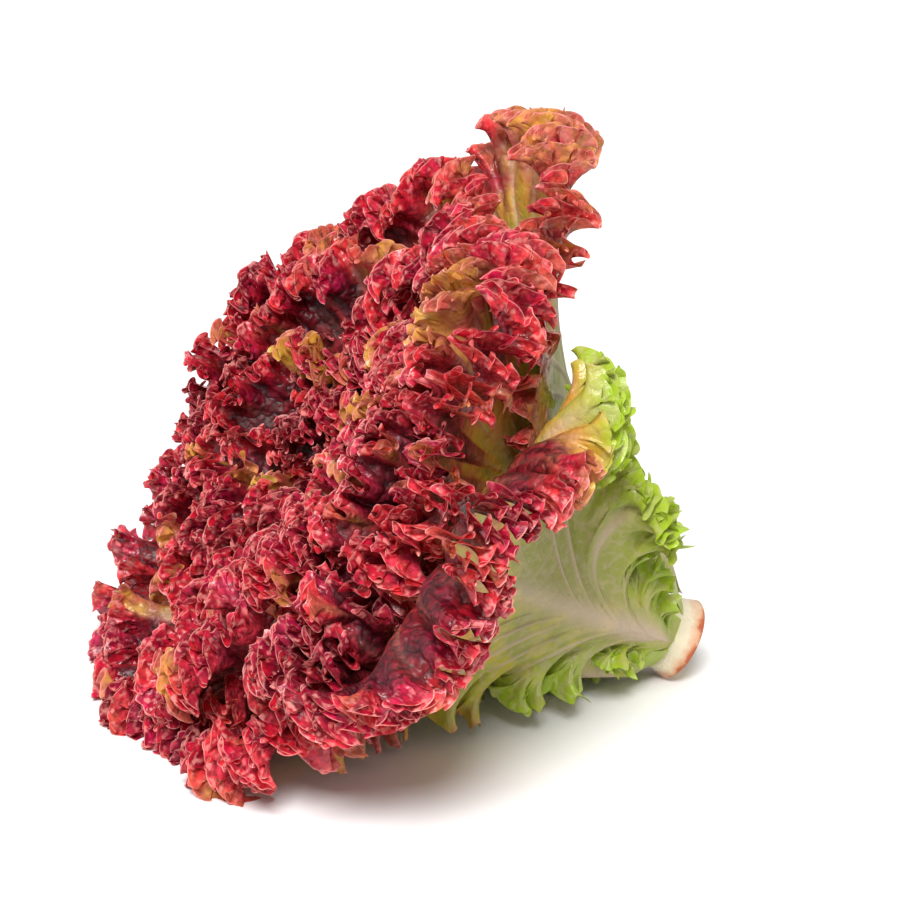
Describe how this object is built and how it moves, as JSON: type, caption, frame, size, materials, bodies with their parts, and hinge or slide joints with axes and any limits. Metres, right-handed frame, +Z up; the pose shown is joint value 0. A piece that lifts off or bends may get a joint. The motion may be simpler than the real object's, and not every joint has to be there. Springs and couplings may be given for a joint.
{
  "type": "red leaf lettuce head",
  "caption": "Cut head of frilly red leaf lettuce lying on its side: a short stem with separate, nested, ruffled leaves that open into a wide rosette.",
  "frame": {"origin": "on the table, under the middle of the head's bounding box", "axes": "+Z up, the cut end of the stem points to +X, the crown of the head to -X and up, +Y across the head"},
  "size_m": [0.1924, 0.2456, 0.1852],
  "materials": {
    "stem": "satin",
    "outer_leaf": "satin",
    "middle_leaf": "satin",
    "heart_leaf": "satin"
  },
  "bodies": {
    "root": {"stem": "stem", "leaf_01": "outer_leaf", "leaf_02": "outer_leaf", "leaf_03": "outer_leaf", "leaf_04": "outer_leaf", "leaf_05": "outer_leaf", "leaf_06": "outer_leaf", "leaf_07": "outer_leaf", "leaf_08": "outer_leaf", "leaf_09": "outer_leaf", "leaf_10": "outer_leaf", "leaf_11": "outer_leaf", "leaf_12": "outer_leaf", "leaf_13": "middle_leaf", "leaf_14": "middle_leaf", "leaf_15": "middle_leaf", "leaf_16": "middle_leaf", "leaf_17": "middle_leaf", "leaf_18": "middle_leaf", "leaf_19": "middle_leaf", "leaf_20": "middle_leaf", "leaf_21": "middle_leaf", "leaf_22": "middle_leaf", "leaf_23": "middle_leaf", "leaf_24": "middle_leaf", "leaf_25": "heart_leaf", "leaf_26": "heart_leaf", "leaf_27": "heart_leaf", "leaf_28": "heart_leaf", "leaf_29": "heart_leaf", "leaf_30": "heart_leaf", "leaf_31": "heart_leaf", "leaf_32": "heart_leaf", "leaf_33": "heart_leaf", "leaf_34": "heart_leaf"}
  },
  "joints": []
}
